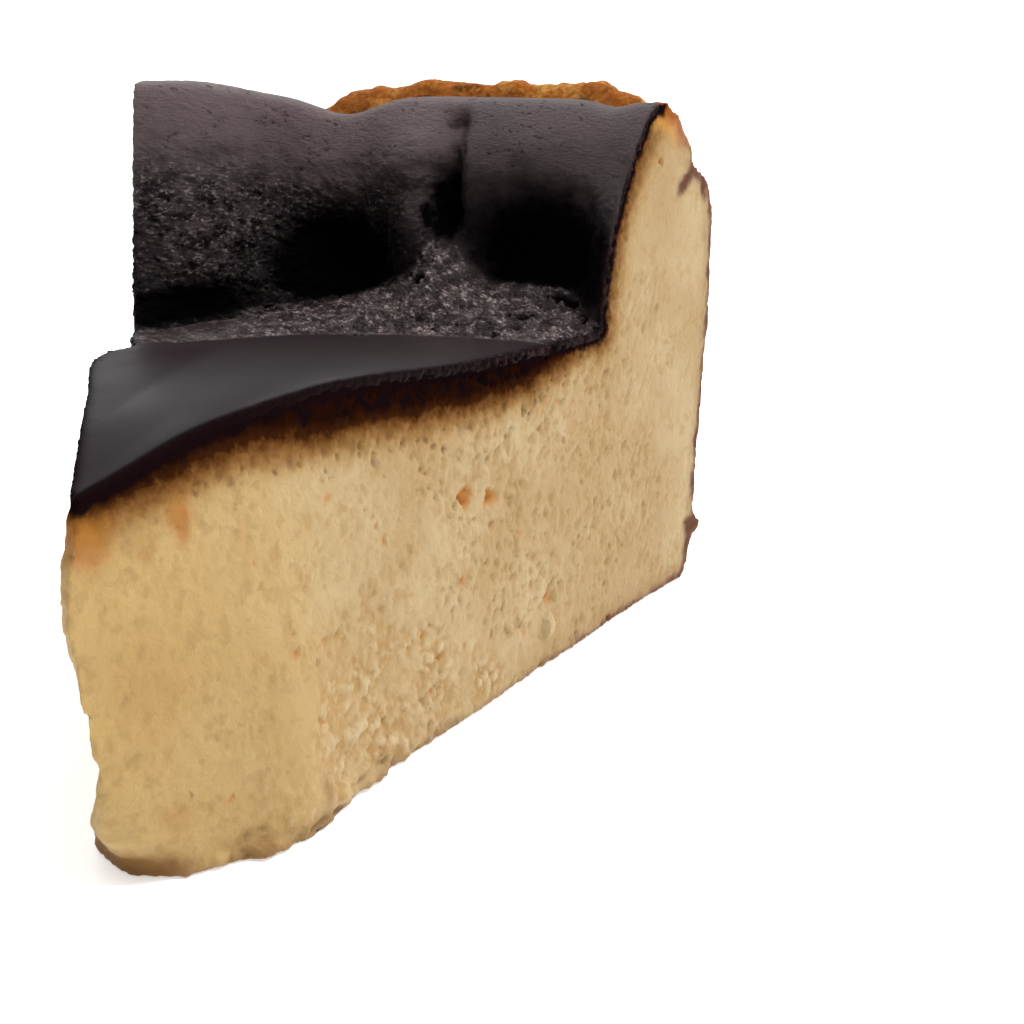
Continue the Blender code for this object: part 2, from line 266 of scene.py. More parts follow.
# Where the burnt skin ends on the rim. Under it the custard is charred to a depth that changes
# along the slice, given by radius, and then fades from caramel to cream.
BURNT_END = 89.3
BURNT_END_RIGHT = 86.3
CHAR_RADII = (4.0, 10.0, 22.0, 30.0, 42.0, 52.0, 62.0, 68.0, 73.0, 77.0, 80.0, 84.0, 88.0)
CHAR_DEPTHS = (1.6, 2.3, 2.9, 4.2, 4.4, 4.2, 3.6, 2.2, 0.6, 0.7, 1.2, 1.4, 2.0)
FADE_DEPTH = 3.9

# Dents of the cut faces: how wide their cells are, how deep they go and how full the cells are.
DENT_SEED = 40
DENT_LEAN = 60.0
DENT_LAYERS = (
    (2.1, 0.40, 0.55),
    (1.35, 0.34, 0.88),
    (0.95, 0.25, 0.92),
)
CURD_SEED = 70
CURD_CELL = 1.35
CURD_RISE = 0.38
SPECK_SEED = 90
SPECK_CELL = 1.3
STAIN_SEED = 21
STAIN_COUNT = 26

# Torn holes of the right cut: radius and height of the sharp edge's middle, the direction in
# which the hole runs out, its length and half width along the edge, and its depth.
TORN_HOLES = (
    (49.6, 22.7, 35.0, 2.6, 1.25, 1.5),
    (53.6, 22.5, -20.0, 2.4, 1.0, 1.25),
    (63.6, 8.4, -55.0, 2.4, 1.0, 0.5),
    (48.0, 14.6, 30.0, 1.7, 0.55, 0.6),
    (41.0, 11.0, 40.0, 1.3, 0.5, 0.5),
    (43.3, 7.9, 40.0, 1.4, 0.5, 0.5),
    (87.3, 54.2, 60.0, 1.2, 0.6, 1.0),
)
# Pale lumps: radius, height, half length, half width, lean and rise.
PALE_LUMPS = (
    (63.4, 4.6, 1.7, 1.1, 80.0, 0.9),
    (36.1, 33.0, 1.2, 1.0, 80.0, 0.4),
    (30.0, 6.0, 2.4, 0.8, 30.0, 0.7),
)
# Orange blotches near the tip: radius, height, half width, half height and strength.
BLOTCHES = (
    (5.6, 30.7, 1.9, 1.9, 0.85),
    (14.3, 30.4, 0.9, 1.6, 0.95),
    (10.6, 29.0, 0.7, 1.2, 0.3),
    (9.5, 17.0, 3.0, 5.0, 0.22),
    (20.0, 27.0, 0.8, 1.4, 0.2),
    (10.0, 5.5, 1.2, 1.4, 0.35),
)
# Gaps under the lip and the slit in the moat: radius, azimuth, half length, half width, depth.
TOP_GAPS = (
    (67.6, 9.6, 2.3, 0.50, 0.9),
    (68.2, 14.4, 2.6, 0.60, 1.0),
    (64.6, -4.6, 3.4, 0.45, 0.8),
    (63.4, 1.5, 1.6, 0.35, 0.3),
    (77.8, 17.4, 2.6, 0.85, 1.8),
    (72.5, 15.5, 2.8, 0.35, 0.6),
    (74.5, 4.2, 1.3, 0.5, 0.6),
)
# Painted shade in the rim's hollows: azimuth, height, half width in degrees, half height and strength.
SHADED_HOLLOWS = (
    (-5.0, 41.0, 8.8, 10.2, 1.0),
    (14.6, 44.0, 9.8, 9.8, 1.0),
    (-18.5, 37.2, 9.2, 4.4, 1.0),
    (5.2, 48.0, 1.9, 6.6, 0.95),
    (6.1, 54.0, 0.9, 3.2, 0.6),
    (5.3, 58.0, 1.3, 0.9, 0.45),
    (21.6, 43.0, 4.0, 7.5, 0.9),
    (-21.5, 43.0, 4.4, 8.0, 0.5),
    (-16.0, 54.6, 2.8, 1.5, 0.35),
)
# Brown marks on the right cut, in the custard: radius, height, half width, half height, lean.
RIND_MARKS = (
    (93.1, 51.9, 2.1, 0.85, 36.0),
    (95.4, 53.0, 1.3, 0.7, -14.0),
    (97.2, 51.4, 0.5, 2.2, 12.0),
    (97.9, 7.0, 1.9, 1.4, 0.0),
    (97.0, 5.0, 0.8, 3.2, 0.0),
)
# Brown patches where the tip stood on the tin: radius, height, half width, half height, strength.
BROWN_PATCHES = (
    (7.6, 1.0, 2.8, 1.5, 0.85),
    (17.0, 0.8, 1.6, 1.0, 0.55),
    (22.0, 0.8, 0.9, 0.7, 0.5),
    (24.6, 3.2, 0.6, 1.3, 0.5),
)


def bump(x, centre, half_width):
    """A smooth hill of height 1 at the centre."""
    return np.exp(-(((x - centre) / half_width) ** 2))


def ease(x, start, end):
    """0 before the start, 1 after the end, smooth in between."""
    t = np.clip((x - start) / (end - start), 0.0, 1.0)
    return t * t * (3.0 - 2.0 * t)


def fade(x, start, end):
    """1 before the start, 0 after the end, smooth in between."""
    return 1.0 - ease(x, start, end)


def clamp(x):
    return np.clip(x, 0.0, 1.0)


def mix(first, second, share):
    return first + (second - first) * share


def hill(u, v, middle_u, middle_v, half_u, half_v, height):
    """A smooth hill on a surface, wider one way than the other."""
    return height * bump(u, middle_u, half_u) * bump(v, middle_v, half_v)


def polar(points):
    """How far points lie from the cake's axis, and their azimuth."""
    x = points[..., 0]
    y = points[..., 1]
    return np.hypot(x, y), np.degrees(np.arctan2(x, y))


def leftness(a):
    """How far the azimuth is into the left part of the slice, where the rim is laid back."""
    return ease(-a, 6.0, 23.0)


def lip_radius(a):
    return mix(LIP_RADIUS, LIP_RADIUS_LEFT, ease(-a, -6.0, 24.0))


def foot_radius(a):
    radius = mix(FOOT_RADIUS, FOOT_RADIUS_LEFT, leftness(a))
    return mix(radius, FOOT_RADIUS_RIGHT, ease(a, 17.0, HALF_ANGLE))


def wall_top_radius(a):
    return mix(WALL_TOP_RADIUS, WALL_TOP_RADIUS_LEFT, leftness(a))


def crest_height(a):
    height = CREST_HEIGHT + CREST_RISE_LEFT * ease(-a, 10.0, 19.0)
    for azimuth, half_width, depth in CREST_DIPS:
        height -= depth * bump(a, azimuth, half_width)
    return height


def foot_rise(a):
    """How much higher the moat is at the rim's foot than at the lip."""
    broad = FOOT_RISE * ease(a, -10.0, 4.0) * fade(a, 15.0, HALF_ANGLE)
    return broad + TENT_RISE * bump(a, TENT_AZIMUTH, TENT_HALF_WIDTH)


def floor_height(s, a):
    """The top inside the rim: the level middle, the lip and the moat."""
    height = PLATEAU_HEIGHT
    for radius, half_width, rise in DOMES:
        height += rise * bump(s, radius, half_width)
    radius, half_width, rise = RIGHT_DOME
    at_right = RIGHT_RISE * ease(s, 8.0, 20.0) + rise * bump(s, radius, half_width)
    height += ease(a, 0.0, HALF_ANGLE) * at_right
    lip = lip_radius(a)
    foot = foot_radius(a)
    climb = clamp((s - lip) / (foot - lip))
    trough = bump(s, lip + MOAT_WIDTH, MOAT_WIDTH * 0.7) * fade(np.abs(a), 17.0, 21.5)
    return height - MOAT_DEPTH * trough + foot_rise(a) * climb**2


def crust_height(a):
    height = CRUST_HEIGHT - CRUST_SLOPE * fade(a, -6.0, 1.0)
    height = mix(height, CRUST_HEIGHT_LEFT, ease(-a, 5.5, 8.4))
    height = mix(height, CRUST_HEIGHT_RIGHT, ease(a, 15.5, HALF_ANGLE))
    turn = a * 2.0 * np.pi / CRUST_LUMP_PITCH
    lumps = np.sin(turn) + 0.8 * np.sin(1.7 * turn + 1.0) + 0.3 * np.sin(3.7 * turn + 2.0)
    return height + CRUST_LUMP * lumps


def shoulder_radius(a):
    return mix(SHOULDER_RADIUS, SHOULDER_RADIUS_RIGHT, ease(a, 15.0, HALF_ANGLE))


def crown_height(s, a):
    """The rim's top: the burnt crest, a shallow groove and the crust along the paper."""
    height = mix(crest_height(a), crust_height(a), ease(s, CRUST_START, CRUST_RADIUS))
    height -= CRUST_GROOVE * bump(s, CRUST_GROOVE_RADIUS, 1.2)
    past = clamp((s - shoulder_radius(a)) / SHOULDER_ROUND + 1.0)
    return height - SHOULDER_DROP * past**2


def soft_minimum(first, second, blend):
    return -blend * np.logaddexp(-first / blend, -second / blend)


def shoulder_height(a):
    """The height of the top's outer edge, where the outer wall ends."""
    s, h = top_section(np.ones_like(a), a)
    return h


def wall_push(h, a):
    """How far the rim's inner wall is pressed back: creases and hollows, less the pillows."""
    push = np.zeros_like(h + a)
    for pressed in CREASES + HOLLOWS:
        push += hill(a, h, *pressed)
    for pillow in PILLOWS:
        push -= hill(a, h, *pillow)
    return push * fade(np.abs(a), HALF_ANGLE - 4.0, HALF_ANGLE)


def top_section(along, a):
    """The radius and height of the top, from the tip at 0 to the shoulder at 1."""
    foot = foot_radius(a)
    lip = lip_radius(a)
    wall_top = wall_top_radius(a)
    shoulder = shoulder_radius(a)
    foot_height = floor_height(foot, a)
    crest = crest_height(a)

    s = mix(TIP_RADIUS_TOP, lip, along / MOAT_START)
    in_moat = (along - MOAT_START) / (WALL_START - MOAT_START)
    s = np.where(along > MOAT_START, mix(lip, foot, in_moat), s)
    h = floor_height(s, a)

    # The wall climbs as a power of the way across it: steep at the right, straighter at the left.
    # Past its top it would go on rising, and the lower crown cuts it off in a rounded crest.
    climb = np.clip((along - WALL_START) / (CROWN_START - WALL_START), 0.0, None)
    power = mix(WALL_POWER, WALL_POWER_LEFT, leftness(a))
    wall_s = mix(foot, wall_top, np.minimum(climb, 1.0) ** power)
    wall_h = mix(foot_height, crest + CREST_ROUND, climb)
    in_crown = (along - CROWN_START) / (1.0 - CROWN_START)
    rim_s = np.where(in_crown > 0.0, mix(wall_top, shoulder, in_crown), wall_s)
    rim_h = soft_minimum(wall_h, crown_height(rim_s, a), CREST_ROUND)
    on_rim = along > WALL_START
    s = np.where(on_rim, rim_s, s)
    h = np.where(on_rim, rim_h, h)

    inner = ease(s, foot - 7.0, foot) * fade(s, wall_top, wall_top + 4.0)
    return s + wall_push(h, a) * inner, h


def outer_section(up, a):
    """The radius and height of the outer wall, from the base at 0 to the shoulder at 1."""
    top = shoulder_height(a)
    h = up * top
    rise = np.sin(clamp(h / BELLY_HEIGHT) * np.pi / 2.0)
    s = BASE_RADIUS + (BELLY_RADIUS - BASE_RADIUS) * rise
    over = clamp((h - BELLY_HEIGHT) / (top - BELLY_HEIGHT))
    s = mix(s, shoulder_radius(a), over**SHOULDER_POWER)
    s -= BASE_EDGE_ROUND * np.exp(-h / BASE_EDGE_ROUND)
    fold_height = FOLD_HEIGHT + 1.3 * np.sin(a / 5.0 + 1.0)
    step = FOLD_STEP * ease(h, fold_height - 0.6, fold_height + 0.8) * (1.0 - over)
    fold = FOLD_DEPTH * bump(h, fold_height, FOLD_HALF_HEIGHT) + step
    s -= fold * ease(a, -6.0, 14.0)
    knob = bump(h, KNOB_HEIGHT, KNOB_HALF_HEIGHT) * bump(a, HALF_ANGLE, 1.2)
    return s + KNOB_REACH * knob - paper_pleats(h, a), h


def paper_pleats(h, a):
    """Upright pleats of uneven width, each leaning and fading with height."""
    rng = np.random.default_rng(PLEAT_SEED)
    depth = np.zeros_like(h + a)
    tall = ease(h, 1.0, 8.0) * fade(h, 50.0, 57.0)
    for pleat in range(PLEAT_COUNT):
        spread = (pleat + 0.5) / PLEAT_COUNT * 2.0 - 1.0
        azimuth = spread * (HALF_ANGLE - 2.0) + rng.uniform(-1.2, 1.2)
        lean = rng.uniform(-0.05, 0.05)
        half_width = rng.uniform(0.9, 2.0)
        strength = rng.uniform(0.4, 1.0)
        depth += strength * bump(a, azimuth + lean * (h - 25.0), half_width)
    inside = fade(np.abs(a), HALF_ANGLE - 2.5, HALF_ANGLE - 0.5)
    return PLEAT_DEPTH * depth * tall * inside


def tip_section(up, across):
    """The radius of the tip's edge from the base at 0 to the top at 1."""
    radius = mix(TIP_RADIUS_MIDDLE, TIP_RADIUS_TOP, ease(up, TIP_MIDDLE_HEIGHT, 1.0))
    radius = mix(TIP_RADIUS_BOTTOM, radius, ease(up, 0.0, TIP_WORN_HEIGHT))
    corner = TIP_CORNER * fade(up, 0.0, 0.6) * (2.0 * across - 1.0) ** 2
    return radius + corner


def section_point(along, across, up, a):
    """Radius and height of a point of the block, between the four edges of its section."""
    base_end = BASE_RADIUS - BASE_EDGE_ROUND
    base_tip = tip_section(0.0, across)
    foot = foot_radius(a)
    to_foot = clamp(along / WALL_START)
    past_foot = clamp((along - WALL_START) / (1.0 - WALL_START))
    base_s = mix(mix(base_tip, foot, to_foot), base_end, past_foot)
    top_s, top_h = top_section(along, a)
    outer_s, outer_h = outer_section(up, a)
    tip_line = mix(base_tip, TIP_RADIUS_TOP, up)
    outer_line = mix(base_end, shoulder_radius(a), up)
    s = mix(base_s, top_s, up)
    s += (1.0 - to_foot) * (tip_section(up, across) - tip_line)
    s += past_foot * (outer_s - outer_line)
    h = top_h * up + past_foot * (outer_h - shoulder_height(a) * up)
    return s, h


def right_flare(s, h):
    """How far the right cut stands out of its plane."""
    share = clamp((FLARE_END - s) / (FLARE_END - FLARE_START))
    reach = FLARE * share * ease(s, -6.0, FLARE_START)
    reach += CHUNK_REACH * bump(s, CHUNK_RADIUS, CHUNK_WIDTH)
    return reach * clamp(1.0 - h / FLARE_HEIGHT)


def left_bow(s, h):
    """How far the left cut stands out of its plane, most of it near the top."""
    top_share = ease(h, 4.0, 30.0)
    bow = BOW_OUT * bump(s, BOW_RADIUS, BOW_WIDTH) * fade(s, 51.0, 54.0)
    notch = NOTCH_DEPTH * bump(s, NOTCH_RADIUS, 3.5)
    swell = 1.0 - TIP_SWELL * bump((h - TIP_SWELL_HEIGHT) ** 2, 0.0, TIP_SWELL_HALF_HEIGHT**2)
    ends = mix(TIP_TRIM_BASE, 1.0, ease(h, 0.0, 14.0)) * mix(1.0, TIP_TRIM_TOP, ease(h, 22.0, 32.0))
    trim = TIP_TRIM * bump(s, 0.0, TIP_TRIM_WIDTH) * swell * ends
    return (bow - notch) * top_share * fade(h, 37.0, 41.0) - trim


def slice_points(block):
    """Bend points of a unit block (across, along, up) into the slice, in millimetres."""
    across, along, up = block.T
    a = mix(-HALF_ANGLE, HALF_ANGLE, across)
    s, h = section_point(along, across, up, a)
    angle = np.radians(a)
    half = np.radians(HALF_ANGLE)
    right = right_flare(s, h) * across
    left = left_bow(s, h) * (1.0 - across)
    x = s * np.sin(angle) + (right - left) * np.cos(half)
    y = s * np.cos(angle) - (right + left) * np.sin(half)
    return np.column_stack((x, y, h))


def edges_along(bm, axis):
    """The edges of a block that run along one axis."""
    found = []
    for edge in bm.edges:
        step = edge.verts[1].co - edge.verts[0].co
        if abs(step[axis]) > 0.5 * step.length:
            found.append(edge)
    return found


def unit_block():
    """A cube from 0 to 1, divided into cells."""
    bm = bmesh.new()
    bmesh.ops.create_cube(bm, size=1.0)
    bmesh.ops.translate(bm, vec=(0.5, 0.5, 0.5), verts=bm.verts)
    for axis, cells in enumerate((CELLS_ACROSS, CELLS_ALONG, CELLS_UP)):
        bmesh.ops.subdivide_edges(bm, edges=edges_along(bm, axis), cuts=cells - 1)
    return bm


def block_mesh():
    """The smooth slice: its points, and its faces by the side of the block that they lie on."""
    bm = unit_block()
    bm.verts.index_update()
    block = np.array([vertex.co[:] for vertex in bm.verts])
    sides = {"left": [], "right": [], "tip": [], "outer": [], "base": [], "top": []}
    names = (("left", "right"), ("tip", "outer"), ("base", "top"))
    for face in bm.faces:
        corners = [vertex.index for vertex in face.verts]
        middle = block[corners].mean(axis=0)
        axis = int(np.argmax(np.abs(middle - 0.5)))
        sides[names[axis][int(middle[axis] > 0.5)]].append(corners)
    bm.free()
    return slice_points(block), sides


def burnt_end(a):
    """The radius where the burnt skin ends on the rim, which wanders a little."""
    wander = 0.35 * np.sin(a * 0.9 + 1.0) + 0.25 * np.sin(a * 2.3)
    return mix(BURNT_END, BURNT_END_RIGHT, ease(a, 17.0, HALF_ANGLE)) + wander


def skin_shell():
    """The burnt skin as a closed shell: the points of its upper sheet, and of its lower one."""
    across, part = np.meshgrid(
        np.linspace(0.0, 1.0, 2 * CELLS_ACROSS + 1), np.linspace(0.0, 1.0, CELLS_ALONG + 1), indexing="ij"
    )
    a = mix(-HALF_ANGLE, HALF_ANGLE, across)
    in_crown = (burnt_end(a) - wall_top_radius(a)) / (shoulder_radius(a) - wall_top_radius(a))
    along = part * mix(CROWN_START, 1.0, in_crown)
    block = np.column_stack((across.ravel(), along.ravel(), np.ones(across.size)))
    upper = slice_points(block).reshape(*across.shape, 3)
    normal = np.cross(np.gradient(upper, axis=0), np.gradient(upper, axis=1))
    normal /= np.linalg.norm(normal, axis=2, keepdims=True)

    # Along the cuts the shell's edge stays in the cut.
    half = np.radians(HALF_ANGLE)
    for column, sideways in ((0, -1.0), (-1, 1.0)):
        out_of_cut = np.array((sideways * np.cos(half), -np.sin(half), 0.0))
        flat = normal[column] - (normal[column] @ out_of_cut)[:, None] * out_of_cut
        normal[column] = flat / np.linalg.norm(flat, axis=1, keepdims=True)
    return upper, upper - SKIN_THICKNESS * normal


def sheet_faces(numbers):
    """Quads of a grid of numbered points."""
    corners = (numbers[:-1, :-1], numbers[1:, :-1], numbers[1:, 1:], numbers[:-1, 1:])
    return np.stack(corners, axis=-1).reshape(-1, 4).tolist()


def rim_faces(numbers):
    """Quads that join the edges of two such grids, the second numbered after the first."""
    edge = np.concatenate((numbers[:, 0], numbers[-1, 1:], numbers[-2::-1, -1], numbers[0, -2:0:-1]))
    following = np.roll(edge, -1)
    below = numbers.size
    return np.column_stack((following, edge, edge + below, following + below)).tolist()


def scene_object(name, data):
    made = bpy.data.objects.new(name, data)
    bpy.context.scene.collection.objects.link(made)
    return made


def mesh_object(name, points, faces):
    mesh = bpy.data.meshes.new(name)
    mesh.from_pydata(points, [], faces)
    mesh.update()
    return scene_object(name, mesh)


def with_modifiers_applied(source):
    """A new mesh of the object as its modifiers leave it."""
    graph = bpy.context.evaluated_depsgraph_get()
    return bpy.data.meshes.new_from_object(source.evaluated_get(graph))


class Fine:
    """A closed form in even fine cells, with where each of its points lies in the cake."""

    def __init__(self, points, faces, cell):
        rough = mesh_object("rough", points, faces)
        remesh = rough.modifiers.new("even_cells", "REMESH")
        remesh.mode = "VOXEL"
        remesh.voxel_size = cell
        even = rough.modifiers.new("even_edges", "SMOOTH")
        even.factor = 0.5
        even.iterations = 3
        self.mesh = with_modifiers_applied(rough)
        bpy.data.objects.remove(rough, do_unlink=True)
        self.points = self.vectors("co")
        self.normals = self.vectors("normal")
        self.s, self.a = polar(self.points)
        self.h = self.points[:, 2].copy()
        self.relief = np.zeros(len(self.points))
        self.marks = {}

    def vectors(self, what):
        values = np.empty(len(self.mesh.vertices) * 3)
        self.mesh.vertices.foreach_get(what, values)
        return values.reshape(-1, 3)

    def near(self, sheet_points, faces):
        """How far each point lies from a sheet, and which way the sheet faces there."""
        tree = BVHTree.FromPolygons(sheet_points.tolist(), faces)
        found = [tree.find_nearest(point) for point in self.points.tolist()]
        return np.array([hit[3] for hit in found]), np.array([hit[1][:] for hit in found])

    def touched(self, mask):
        """The numbers of the points that a mask reaches, and their places."""
        near = np.flatnonzero(mask > FAINT)
        return near, self.points[near]

    def mark(self, where=slice(None), **properties):
        """Note how strongly points have some properties, keeping what is stronger already."""
        for name, values in properties.items():
            if name not in self.marks:
                self.marks[name] = np.zeros(len(self.points))
            self.marks[name][where] = np.maximum(self.marks[name][where], values)

    def finished(self, name, shift):
        """The object in metres, with its relief and marks, and fewer triangles where it is plain."""
        moved = self.points + self.normals * self.relief[:, None]
        moved[:, 2] = np.maximum(moved[:, 2], 0.0)
        mesh = self.mesh
        mesh.vertices.foreach_set("co", ((moved - shift) * METRES_PER_MM).ravel())
        for mark, values in self.marks.items():
            attribute = mesh.attributes.new(mark, "FLOAT", "POINT")
            attribute.data.foreach_set("value", values)
        mesh.update()
        piece = scene_object(name, mesh)
        mesh.calc_loop_triangles()
        count = len(mesh.loop_triangles)
        decimate = piece.modifiers.new("fewer_plain_triangles", "DECIMATE")
        decimate.ratio = min(1.0, TRIANGLE_LIMIT / count)
        decimate.use_collapse_triangulate = True
        thin = with_modifiers_applied(piece)
        piece.modifiers.clear()
        piece.data = thin
        bpy.data.meshes.remove(mesh)
        thin.name = name
        thin.shade_smooth()
        print(name, "triangles", count, "->", len(thin.polygons))
        return piece


def fractal(points, cell, octaves=3, offset=0.0, softness=1.0):
    """Soft lumps of about the cell's size, from -1 to 1. The cell may differ by direction."""
    scaled = points / np.asarray(cell) + offset
    return np.array([noise.fractal(Vector(p), softness, 2.0, octaves) for p in scaled.tolist()])


def ridged(points, cell, octaves=3, offset=0.0):
    """Rounded scales of about the cell's size: 1 on top of them, 0 in the sharp creases between."""
    return clamp(np.abs(fractal(points, cell, octaves, offset)) / 0.45)


def cells_round(u, v, cell, seed):
    """The nine cells round each point of a plane: the way from each one's random middle, and luck."""
    table = np.random.default_rng(seed).random((128, 128, 6))
    column = np.floor(u / cell).astype(int)
    row = np.floor(v / cell).astype(int)
    for step_u in (-1, 0, 1):
        for step_v in (-1, 0, 1):
            *luck, place_u, place_v = table[(column + step_u) % 128, (row + step_v) % 128].T
            middle_u = (column + step_u + place_u) * cell
            middle_v = (row + step_v + place_v) * cell
            yield u - middle_u, v - middle_v, luck


def turned(u, v, angle):
    turn = np.radians(angle)
    return u * np.cos(turn) + v * np.sin(turn), v * np.cos(turn) - u * np.sin(turn)


def drop(along, across, radius):
    """1 at the middle of a round spot and 0 at its edge."""
    return clamp(1.0 - (along**2 + across**2) / radius**2)


def dents(u, v, cell, seed, fullness):
    """0 between dents and up to 1 in the deepest: leaning drops with a steeper upper left side."""
    deepest = np.zeros_like(u)
    for du, dv, (size, lean, chance, length) in cells_round(u, v, cell, seed):
        along, across = turned(du, dv, DENT_LEAN + 60.0 * (lean - 0.5))
        along = along / mix(1.1, 2.0, length)
        across *= np.where(across > 0.0, 1.8, 1.0)
        share = drop(along, across, cell * mix(0.22, 0.42, size))
        depth = np.where(chance < fullness, mix(0.35, 1.0, chance / fullness), 0.0)
        deepest = np.maximum(deepest, depth * share**0.8)
    return deepest


def curd_lumps(u, v, cell, seed):
    """Rounded curds: 0 in the gaps between them and up to 1 on the tallest."""
    tallest = np.zeros_like(u)
    for du, dv, (size, lean, height, length) in cells_round(u, v, cell, seed):
        along, across = turned(du, dv, 35.0 + 90.0 * (lean - 0.5))
        share = drop(along, across * mix(1.0, 1.6, length), cell * mix(0.30, 0.66, size**1.4))
        tallest = np.maximum(tallest, np.sqrt(share) * mix(0.35, 1.0, height))
    return tallest


def burnt_specks(u, v, below, seed):
    """1 in the middle of each speck. They thin out with the distance below the charred band."""
    past = below - char_depth(u)
    reach = mix(mix(3.4, 5.4, bump(u, 46.0, 20.0)), 2.6, ease(u, 70.0, 76.0))
    likely = mix(0.9, 0.0, ease(past, 1.0, reach))
    strongest = np.zeros_like(u)
    for du, dv, (size, lean, chance, _) in cells_round(u, v, SPECK_CELL, seed + SPECK_SEED):
        along, across = turned(du, dv, 90.0 + 50.0 * (lean - 0.5))
        share = drop(along / 1.5, across, SPECK_CELL * mix(0.2, 0.42, size**1.5))
        strongest = np.maximum(strongest, np.where(chance < likely, share, 0.0))
    return strongest


def ellipse(u, v, half_long, half_short, angle):
    """1 at the middle of an ellipse and 0 at its edge, with a soft edge."""
    along, across = turned(u, v, angle)
    return ease(1.0 - (along / half_long) ** 2 - (across / half_short) ** 2, 0.0, 1.0)


def soft_spots(u, v, spots, fullness):
    """The strongest of several soft spots at each point."""
    strongest = np.zeros_like(u)
    for spot_u, spot_v, half_wide, half_high, strength in spots:
        spot = np.minimum(1.0, hill(u, v, spot_u, spot_v, half_wide, half_high, fullness))
        strongest = np.maximum(strongest, strength * spot)
    return strongest


def torn(u, v, direction, length, half_width):
    """1 just past a sharp curved edge, running out to 0 in the direction given."""
    along, across = turned(u, v, direction)
    along += 0.35 * across**2 / half_width
    side = clamp(1.0 - (across / half_width) ** 2)
    fall = clamp(along / 0.35) * clamp(1.0 - along / length)
    return fall * side


